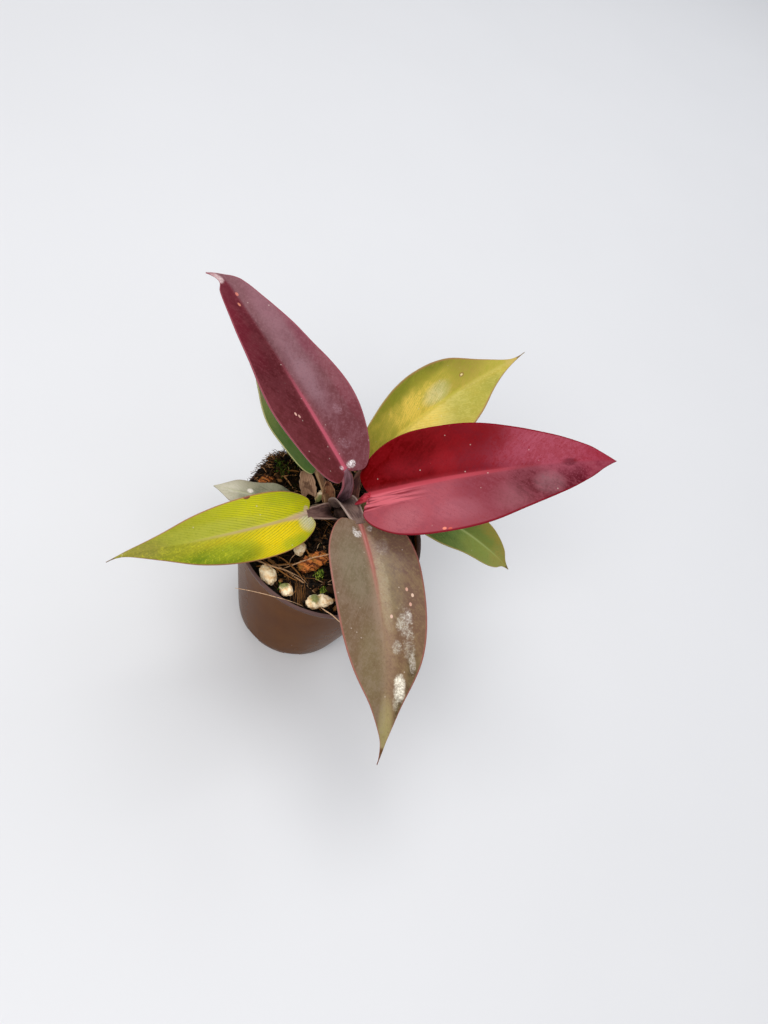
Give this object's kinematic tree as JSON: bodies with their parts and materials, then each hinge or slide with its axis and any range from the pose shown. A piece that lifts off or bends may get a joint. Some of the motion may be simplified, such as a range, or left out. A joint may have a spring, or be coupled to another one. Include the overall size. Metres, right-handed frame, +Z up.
{
  "type": "potted red sun philodendron",
  "caption": "Young philodendron with lance-shaped leaves in crimson, wine, bronze, lime, gold and green, growing in a small dark nursery pot that stands on its flat base.",
  "frame": {"origin": "centre of the pot's flat underside, on the pot's axis", "axes": "+Z up through the rim, -Y towards the front of the plant, +X to its right"},
  "size_m": [0.2144, 0.2271, 0.1691],
  "materials": {
    "pot": "glossy dark brown, thin thermoformed wall",
    "soil": "rough near-black peat and coconut fibre",
    "stem": "matt maroon brown",
    "petiole_crimson": "satin, fleshy",
    "blade_crimson": "satin, deep red",
    "petiole_wine": "satin, fleshy",
    "blade_wine": "satin, wine red",
    "petiole_bronze": "satin, fleshy",
    "blade_bronze": "satin, bronze brown",
    "petiole_gold": "satin, fleshy",
    "blade_gold": "satin, yellow green",
    "petiole_lime": "satin, fleshy",
    "blade_lime": "satin, lime green",
    "petiole_green": "satin, fleshy",
    "blade_green": "satin, mid green",
    "petiole_moss": "satin, fleshy",
    "blade_moss": "satin, moss green",
    "petiole_silver": "satin, fleshy",
    "blade_silver": "glossy, pale grey green",
    "dry_sheath_tan": "dry, papery",
    "dry_sheath_maroon": "dry, papery",
    "perlite": "chalky, porous",
    "bark": "rough, fibrous"
  },
  "bodies": {
    "root": {"pot": "pot", "soil": "soil", "stem": "stem", "petiole_crimson": "petiole_crimson", "blade_crimson": "blade_crimson", "petiole_wine": "petiole_wine", "blade_wine": "blade_wine", "petiole_bronze": "petiole_bronze", "blade_bronze": "blade_bronze", "petiole_gold": "petiole_gold", "blade_gold": "blade_gold", "petiole_lime": "petiole_lime", "blade_lime": "blade_lime", "petiole_green": "petiole_green", "blade_green": "blade_green", "petiole_moss": "petiole_moss", "blade_moss": "blade_moss", "petiole_silver": "petiole_silver", "blade_silver": "blade_silver", "dry_sheath_tan": "dry_sheath_tan", "dry_sheath_maroon": "dry_sheath_maroon", "perlite_1": "perlite", "perlite_2": "perlite", "perlite_3": "perlite", "perlite_4": "perlite", "perlite_5": "perlite", "perlite_6": "perlite", "perlite_7": "perlite", "perlite_8": "perlite", "perlite_9": "perlite", "bark_chip_1": "bark", "bark_chip_2": "bark", "bark_chip_3": "bark"}
  },
  "joints": []
}
